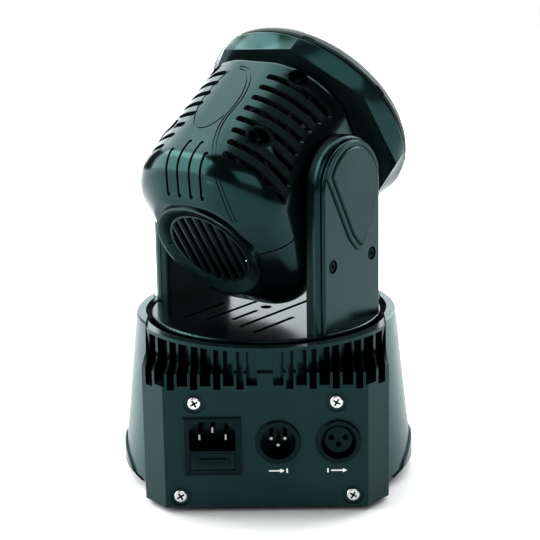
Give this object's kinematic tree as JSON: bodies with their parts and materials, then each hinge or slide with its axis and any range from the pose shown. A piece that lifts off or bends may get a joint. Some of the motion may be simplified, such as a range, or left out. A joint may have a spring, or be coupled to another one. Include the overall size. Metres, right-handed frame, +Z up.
{
  "type": "moving head light",
  "caption": "Stage moving head light: ribbed base with mains and data sockets, panning twin-arm yoke, vented tilting head with lens ring and rear fan.",
  "frame": {"origin": "floor level under the feet, on the pan axis", "axes": "+Z up along the pan axis; +Y out of the connector panel, -Y out of the control panel; the yoke rests turned 36.8 degrees clockwise from above and the beam rests 33.5 degrees above level"},
  "size_m": [0.1664, 0.1602, 0.2497],
  "materials": {
    "housing": "moulded black plastic, semi-gloss",
    "cover": "moulded black plastic, fine grain",
    "trim": "gloss black",
    "feet": "matt",
    "panel": "black powder coat",
    "socket": "gloss black",
    "zinc": "zinc plated",
    "black_screw": "black oxide",
    "pin_metal": "plated",
    "window": "smoked gloss",
    "button": "satin",
    "board": "solder mask",
    "component": "mixed",
    "steel": "brushed",
    "motor": "black and bare end bells",
    "belt": "matt",
    "pulley": "moulded",
    "arm": "moulded black plastic, semi-gloss",
    "cap": "moulded black plastic",
    "shell": "moulded black plastic, semi-gloss",
    "grille": "satin",
    "bush": "satin",
    "fan": "satin",
    "lens": "clear",
    "sink": "extruded",
    "led_board": "white solder mask on aluminium",
    "led": "phosphor"
  },
  "bodies": {
    "base": {"base_tray": "trim", "rubber_feet": "feet", "base_rear_housing": "housing", "base_front_housing": "housing", "side_cover_left": "cover", "side_cover_right": "cover", "side_trims": "trim", "rear_panel": "panel", "front_panel": "panel", "panel_screws": "zinc", "mains_inlet": "socket", "socket_pins": "pin_metal", "data_in_socket": "socket", "data_out_socket": "socket", "display_window": "window", "display_board": "board", "power_board": "board", "power_components": "component", "base_deck": "steel", "deck_screws": "zinc", "pan_motor": "motor", "pan_belt": "belt", "pan_bearing": "steel"},
    "fuse_drawer": {"fuse_drawer": "socket"},
    "button_menu": {"button_menu": "button"},
    "button_down": {"button_down": "button"},
    "button_up": {"button_up": "button"},
    "button_enter": {"button_enter": "button"},
    "pan_motor_pulley": {"pan_motor_pulley": "pulley"},
    "yoke": {"turntable": "housing", "pan_axle": "steel", "pan_nut": "steel", "pan_pulley": "pulley", "arm_left_outer": "arm", "arm_right_outer": "arm", "arm_inner_halves": "arm", "arm_caps": "cap", "arm_brackets": "steel", "arm_screws": "black_screw", "tilt_axles": "steel", "tilt_fixed_pulley": "pulley"},
    "head": {"head_shell_top": "shell", "head_shell_bottom": "shell", "head_screws": "zinc", "bezel": "shell", "front_ring": "shell", "lens_plate": "grille", "lenses": "lens", "heat_sink": "sink", "led_board": "led_board", "leds": "led", "rear_grille": "grille", "fan_frame": "fan", "tilt_bushings": "bush", "tilt_motor": "motor", "tilt_motor_bracket": "steel", "tilt_belt": "belt", "driver_board": "board"},
    "fan": {"fan_rotor": "fan"},
    "tilt_motor_pulley": {"tilt_motor_pulley": "pulley"}
  },
  "joints": [
    {"name": "pan", "type": "hinge", "parent": "base", "child": "yoke", "pos_m": [0, 0, 0.0923], "axis": [0, 0, 1], "range_deg": [-233.2, 306.8]},
    {"name": "tilt", "type": "hinge", "parent": "yoke", "child": "head", "pos_m": [0, 0, 0.1685], "axis": [0.8007, -0.599, 0], "range_deg": [-161.5, 48.5]},
    {"name": "fan_spin", "type": "hinge", "parent": "head", "child": "fan", "pos_m": [0.02847, 0.03806, 0.13704], "axis": [-0.4995, -0.6677, 0.5519], "continuous": true},
    {"name": "pan_motor_shaft", "type": "hinge", "parent": "base", "child": "pan_motor_pulley", "pos_m": [0, -0.042, 0.083], "axis": [0, 0, 1], "range_deg": [-1166, 1534]},
    {"name": "tilt_motor_shaft", "type": "hinge", "parent": "head", "child": "tilt_motor_pulley", "pos_m": [0.03486, -0.0135, 0.14024], "axis": [0.8007, -0.599, 0], "range_deg": [-121.25, 403.75]},
    {"name": "fuse_drawer_slide", "type": "slide", "parent": "base", "child": "fuse_drawer", "axis": [0, 1, 0], "range_m": [0, 0.015]},
    {"name": "button_menu_press", "type": "slide", "parent": "base", "child": "button_menu", "axis": [0, 1, 0], "range_m": [0, 0.0008], "stiffness_N_per_m": 500, "springref_m": -0.001},
    {"name": "button_down_press", "type": "slide", "parent": "base", "child": "button_down", "axis": [0, 1, 0], "range_m": [0, 0.0008], "stiffness_N_per_m": 500, "springref_m": -0.001},
    {"name": "button_up_press", "type": "slide", "parent": "base", "child": "button_up", "axis": [0, 1, 0], "range_m": [0, 0.0008], "stiffness_N_per_m": 500, "springref_m": -0.001},
    {"name": "button_enter_press", "type": "slide", "parent": "base", "child": "button_enter", "axis": [0, 1, 0], "range_m": [0, 0.0008], "stiffness_N_per_m": 500, "springref_m": -0.001}
  ],
  "couplings": [
    {"joint": "pan_motor_shaft", "follows": "pan", "ratio": 5},
    {"joint": "tilt_motor_shaft", "follows": "tilt", "ratio": -2.5}
  ]
}
